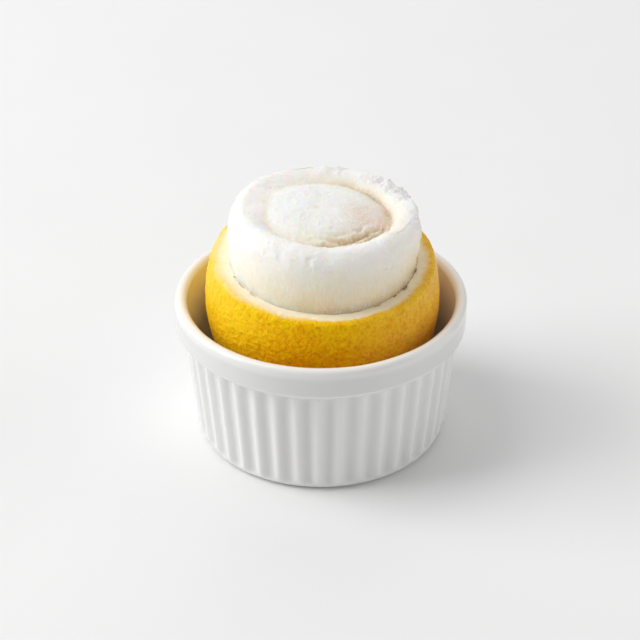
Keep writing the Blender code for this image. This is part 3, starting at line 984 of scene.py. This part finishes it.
def melt_and_bounce_on(rings, bearing):
    """Painted warm light from the lemon and painted shade on the wall, with the melt at the foot:
    from 0 at the crest to 1 at the cut, by the height, and less on the lit left.
    """
    melt_and_bounce = np.clip((CREST_HEIGHT - rings[..., 2]) / (CREST_HEIGHT - CUT_HEIGHT), 0.0, 1.0)
    melt_and_bounce[:TOP_ROWS] = 0.0
    return melt_and_bounce * (1.0 - 0.75 * hump(bearing, -80.0, 90.0))


frost = frost_on(drum, bearing, depth)
melt_and_bounce = melt_and_bounce_on(drum, bearing)
sorbet_rings = leaning(frosted(drum, frost))
print(f"frost covers {np.mean(frost[:WALL_ROWS] > 0.3):.0%} of the sorbet")

# %% [markdown]
# ## Ice that light goes into
#
# Light goes a few millimetres into white sorbet and comes out warmer, so hollows and shaded sides
# turn to peach, while frost scatters it at once and stays white. Subsurface scattering does part
# of
# the first, and painted colour the rest: painted shade in the groove, the creases and on the right
# of the mound, and painted warm light from the lemon low on the wall, weaker on the lit left. The
# frost mark does the second, with a colder white and a rougher surface. Where it melts at the
# foot, the surface is wet and smooth, and a small speck lies in the dimple.


# %% Finish of the sorbet
SYRUP_SPOT = 1.1 * MM
# Radii between which the painted shade on the right sets in, weakens past the mound and ends
SHADE_START = (1.0 * MM, 10.0 * MM)
MOUND_END = (15.0 * MM, 18.0 * MM)
SHADE_END = (22.0 * MM, 24.0 * MM)


def lemon_ice():
    ice = Finish(
        "lemon_ice", Subsurface_Weight=0.8, Subsurface_Radius=(1.0, 0.66, 0.42),
        Subsurface_Scale=7.0 * MM, IOR=1.33,
    )
    # The depth mark carries painted shade and the dimple's speck, and the melt mark the melt with
    # painted warm light
    frosty, wet_and_bounce, deep = ice.mark("frost"), ice.mark("melt"), ice.mark("depth")
    clouds = ice.step(ice.grain(5 * MM, 3.0), 0.3, 0.7)
    fleck = ice.step(ice.grain(0.7 * MM, 2.0), 0.55, 0.68)
    streak = ice.step(ice.grain(0.6 * MM, 2.0, (1.0, 1.0, 0.2)), 0.45, 0.7)
    colour = ice.painted(
        (253, 249, 242),
        (clouds, 254, 252, 247),
        # painted shade on the mound's right side, which faces away from the lights
        (ice.mark("right_shade") * 0.7, 238, 211, 191),
        # painted shade in the groove and the creases, and the speck in the dimple
        (deep * 0.75, 240, 222, 192),
        (deep.power(5.0) * 0.6, 204, 180, 132),
        # melt at the foot, with painted warm light from the lemon and painted shade, weaker on the
        # lit left
        (wet_and_bounce, 252, 222, 176),
        (wet_and_bounce.power(14.0) * 0.6, 226, 178, 112),
        (frosty * 0.5, 253, 252, 250),
        (streak * 0.3, 255, 251, 244),
        (fleck * 0.35, 255, 255, 255),
    )
    rough = 0.5 + frosty * 0.25 + clouds * 0.08 - wet_and_bounce * 0.2
    coarse = ice.relief(ice.grain(0.7 * MM, 3.0) + streak * 0.4, 0.14 * MM, 0.8)
    fine = ice.relief(ice.grain(0.25 * MM, 2.0) * (0.3 + frosty), 0.1 * MM, 0.9, coarse)
    return ice.fed(Base_Color=colour, Roughness=rough, Normal=fine)


def shade_and_speck_on(rings, bearing, depth, crease):
    """How much painted shade lies in the groove and the creases, and the speck in the dimple, from
    0 to
    1: by the depth below the crest, where the right side starts lower, or by the nearness of a
    crease, and both less on the lit left. The dimple holds a spot that fades as a bell curve."""
    on_left = hump(bearing, *LEFT_SIDE)
    sunk = ease(depth, (2.4 * hump(bearing, *RIGHT_SIDE) - 0.6) * MM, 3.6 * MM)
    shade_and_speck = np.maximum(sunk * (1.0 - 0.8 * on_left), (0.8 - 0.3 * on_left) * crease)
    away = np.hypot(rings[..., 0] - DIMPLE_PLACE[0], rings[..., 1] - DIMPLE_PLACE[1])
    spot = 0.9 * np.exp(-((away / SYRUP_SPOT) ** 2))
    spot[TOP_ROWS:] = 0.0
    return np.maximum(shade_and_speck, spot)


def right_shade_on(rings, bearing):
    """Painted shade on the top, from 0 to 1: the right side of the mound, which faces away from
    the lights, and less of the ring's inner side beyond it."""
    radius = np.hypot(rings[..., 0], rings[..., 1])
    right_shade = hump(bearing, *RIGHT_SIDE) * between(radius, SHADE_START, SHADE_END)
    right_shade *= 1.0 - 0.3 * ease(radius, *MOUND_END)
    right_shade[TOP_ROWS:] = 0.0
    return right_shade


shade_and_speck = shade_and_speck_on(drum, bearing, depth, crease)
right_shade = right_shade_on(drum, bearing)
sorbet_marks = {"frost": frost, "melt": melt_and_bounce, "depth": shade_and_speck, "right_shade": right_shade}
sorbet = closed_piece("sorbet_swirl", sorbet_rings, lemon_ice(), sorbet_marks)
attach(sorbet, "root")
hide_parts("sorbet")

# %% [markdown]
# ## Loose ice crystals
#
# Crystals of a few tenths of a millimetre stand on the frost and catch the light. A particle
# system would be lost in an exported model, so they are one mesh: an octahedron of eight faces,
# copied by adding arrays, each copy stretched, turned and set on a point of the sorbet.

# %% Crystals
CRYSTAL_COUNT = 5500
CRYSTAL_SIZE = 0.12 * MM
CRYSTAL_LARGEST = 0.4 * MM
CRYSTAL_CORNERS = np.array([[1, 0, 0], [-1, 0, 0], [0, 1, 0], [0, -1, 0], [0, 0, 1], [0, 0, -1]])
CRYSTAL_FACES = np.array(
    [[0, 2, 4], [2, 1, 4], [1, 3, 4], [3, 0, 4], [2, 0, 5], [1, 2, 5], [3, 1, 5], [0, 3, 5]]
)


def random_turns(count, dice):
    """Rotation matrices from random unit quaternions."""
    quaternions = dice.normal(size=(4, count))
    w, x, y, z = quaternions / np.linalg.norm(quaternions, axis=0)
    rows = [
        [1 - 2 * (y * y + z * z), 2 * (x * y - z * w), 2 * (x * z + y * w)],
        [2 * (x * y + z * w), 1 - 2 * (x * x + z * z), 2 * (y * z - x * w)],
        [2 * (x * z - y * w), 2 * (y * z + x * w), 1 - 2 * (x * x + y * y)],
    ]
    return np.moveaxis(np.array(rows), -1, 0)


def scattered(rings, weight, count, dice):
    """Points between neighbours of the grid, each cell drawn by its weight times its width, since
    cells near the axis are narrow."""
    radius = np.hypot(rings[..., 0] - LEMON_CENTRE[0], rings[..., 1])
    chance = (weight * radius)[:-1]
    drawn = dice.choice(chance.size, count, p=(chance / chance.sum()).ravel())
    row, column = np.unravel_index(drawn, chance.shape)
    u, v = dice.uniform(size=(2, count, 1))
    beside = (column + 1) % rings.shape[1]
    here = rings[row, column] * (1 - v) + rings[row, beside] * v
    below = rings[row + 1, column] * (1 - v) + rings[row + 1, beside] * v
    return here * (1 - u) + below * u


def crystals(rings, weight):
    """The octahedron's corners times a random size and stretch, turned, plus each crystal's
    place."""
    dice = np.random.default_rng(7)
    place = scattered(rings, weight, CRYSTAL_COUNT, dice)
    size = dice.lognormal(math.log(CRYSTAL_SIZE), 0.5, (CRYSTAL_COUNT, 1, 1))
    stretch = dice.uniform(0.5, 1.3, (CRYSTAL_COUNT, 1, 3))
    corners = CRYSTAL_CORNERS * np.minimum(size, CRYSTAL_LARGEST) * stretch
    corners = corners @ random_turns(CRYSTAL_COUNT, dice) + place[:, None, :]
    faces = CRYSTAL_FACES + 6 * np.arange(CRYSTAL_COUNT)[:, None, None]
    return corners.reshape(-1, 3), faces.reshape(-1, 3).tolist()


def frost_crystal():
    clear = Finish("frost_crystal", IOR=1.31, Specular_IOR_Level=0.25)
    cloud = clear.grain(0.8 * MM, 2.0)
    colour = clear.painted((255, 253, 249), (cloud, 255, 255, 255))
    return clear.fed(Base_Color=colour, Roughness=0.12 + cloud * 0.25)


chance = 0.006 + 0.9 * frost**1.3 + 0.15 * melt_and_bounce**16 + 0.05 * right_shade
crystal_points, crystal_faces = crystals(sorbet_rings[:WALL_ROWS], chance[:WALL_ROWS])
ice_crystals = new_piece("ice_crystals", crystal_points, crystal_faces, frost_crystal())
ice_crystals.data.shade_flat()
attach(ice_crystals, "root")

# %% [markdown]
# ## Dried membrane along the pith
#
# Scraps of the scraped-out flesh's membrane dried brown on the inner edge of the pith, where they
# show as a few thin dark lines. Each is a slim leaf: a flat oval section carried along a short
# arc, thickest in the middle, and closed at both ends.

# %% Membrane flecks
# Bearing in degrees from the front towards +X of the middle, length along the edge, width and
# distance from the axis in mm, and the lift above the cut in mm
FLECKS = (
    (-66, 1.3, 0.30, 27.45, 0.20),
    (-57, 3.4, 0.24, 27.50, 0.26),
    (-46, 2.6, 0.18, 27.45, 0.18),
    (33, 2.4, 0.20, 27.35, 0.18),
    (47, 1.6, 0.30, 27.10, 0.22),
    (57, 2.8, 0.66, 27.05, 0.34),
    (76, 2.4, 0.34, 26.90, 0.24),
    (146, 3.0, 0.34, 27.30, 0.20),
    (-128, 3.4, 0.34, 27.40, 0.20),
)
FLECK_WAVER = 0.18 * MM


def fleck_rings(middle, length, width, distance, lift, seed):
    """An oval section, wider than it is thick, along an arc about the axis. Its size follows the
    root of one minus the squared share of the half length, and noise makes it waver."""
    along = np.linspace(-0.98, 0.98, 15)[:, None]
    angle = math.radians(middle - 90.0) + along * 0.5 * length / distance
    section = np.arange(8) * math.tau / 8
    size = 0.5 * width * MM * np.sqrt(1.0 - along**2)
    waver = FLECK_WAVER * lattice_noise(angle * (1.0, 0.0, 0.0), 0.02, seed)[:, None]
    radius = distance * MM + waver + size * np.cos(section)
    height = CUT_HEIGHT + lift * MM + 0.55 * size * np.sin(section) + 0.3 * waver
    points = np.stack([radius * np.cos(angle), radius * np.sin(angle), height], axis=-1)
    return leaning(points[:, ::-1])


def dried_membrane():
    dry = Finish("dried_membrane", Subsurface_Weight=0.2, Subsurface_Scale=0.5 * MM)
    streak = dry.step(dry.grain(0.7 * MM, 3.0), 0.35, 0.7)
    colour = dry.painted((150, 98, 38), (streak, 205, 158, 88))
    wrinkles = dry.relief(dry.grain(0.3 * MM, 2.0), 0.08 * MM, 0.5)
    return dry.fed(Base_Color=colour, Roughness=0.45 + streak * 0.3, Normal=wrinkles)


def joined(parts):
    """Several closed grids of rings as one list of points and faces."""
    faces, start = [], 0
    for rings in parts:
        rows, columns, _ = rings.shape
        index, quads = ring_faces(rows, columns, start)
        faces += quads + [index[0, ::-1].tolist(), index[-1].tolist()]
        start += rows * columns
    return np.concatenate([rings.reshape(-1, 3) for rings in parts]), faces


leaves = [fleck_rings(*fleck, 200 + n) for n, fleck in enumerate(FLECKS)]
fleck_points, fleck_faces = joined(leaves)
flecks = new_piece("membrane_flecks", fleck_points, fleck_faces, dried_membrane())
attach(flecks, "root")

# %% [markdown]
# ## Floor and light
#
# The dish stands on white paper that fills the picture, so one large plane is enough. Two soft
# lights on the left, one high and one lower and larger, make that side bright, leave the front to
# the light that the paper throws back, and lay a soft shadow to the right. A card low on the right
# lifts the shaded side, and a pale wall behind keeps the far rim from going grey.

# %% Floor
FLOOR_SIZE = 3.0


def white_paper():
    paper = Finish("white_paper", Specular_IOR_Level=0.2)
    cloud = paper.grain(60 * MM, 2.0)
    colour = paper.painted((240, 240, 240), (cloud, 243, 243, 243))
    tooth = paper.relief(paper.grain(0.5 * MM, 2.0), 0.02 * MM, 0.3)
    return paper.fed(Base_Color=colour, Roughness=0.75 + cloud * 0.1, Normal=tooth)


square = np.array([[-1, -1, 0], [1, -1, 0], [1, 1, 0], [-1, 1, 0]])
floor = new_piece("paper_floor", 0.5 * FLOOR_SIZE * square, [[0, 1, 2, 3]], white_paper())


# %% Lights
LIGHT_DISTANCE = 2.0
LIGHT_AIM = Vector((0.0, 0.0, 30.0 * MM))
ROOM_GLOW = 0.375


def soft_light(name, bearing, elevation, size, power):
    """A square area light that faces the dessert from a bearing, anticlockwise from +X, and an
    elevation, both in degrees."""
    light = bpy.data.lights.new(name, "AREA")
    light.shape, light.size, light.energy = "SQUARE", size, power
    lamp = bpy.data.objects.new(name, light)
    bpy.context.scene.collection.objects.link(lamp)
    around, up = math.radians(bearing), math.radians(elevation)
    flat = math.cos(up)
    toward = Vector((flat * math.cos(around), flat * math.sin(around), math.sin(up)))
    lamp.location = LIGHT_AIM + LIGHT_DISTANCE * toward
    lamp.rotation_euler = (-toward).to_track_quat("-Z", "Y").to_euler()


soft_light("high_window", 180, 60, 1.05, 10.3)
soft_light("side_window", 180, 31, 1.4, 23.4)
soft_light("low_right_card", 0, 15, 1.5, 10.1)
soft_light("back_wall", 90, 40, 1.8, 6.5)
world = bpy.data.worlds.new("room")
world.use_nodes = True
room = world.node_tree.nodes["Background"].inputs
room["Color"].default_value = (1.0, 1.0, 1.0, 1.0)
room["Strength"].default_value = ROOM_GLOW
bpy.context.scene.world = world
bpy.context.scene.view_settings.view_transform = "Standard"
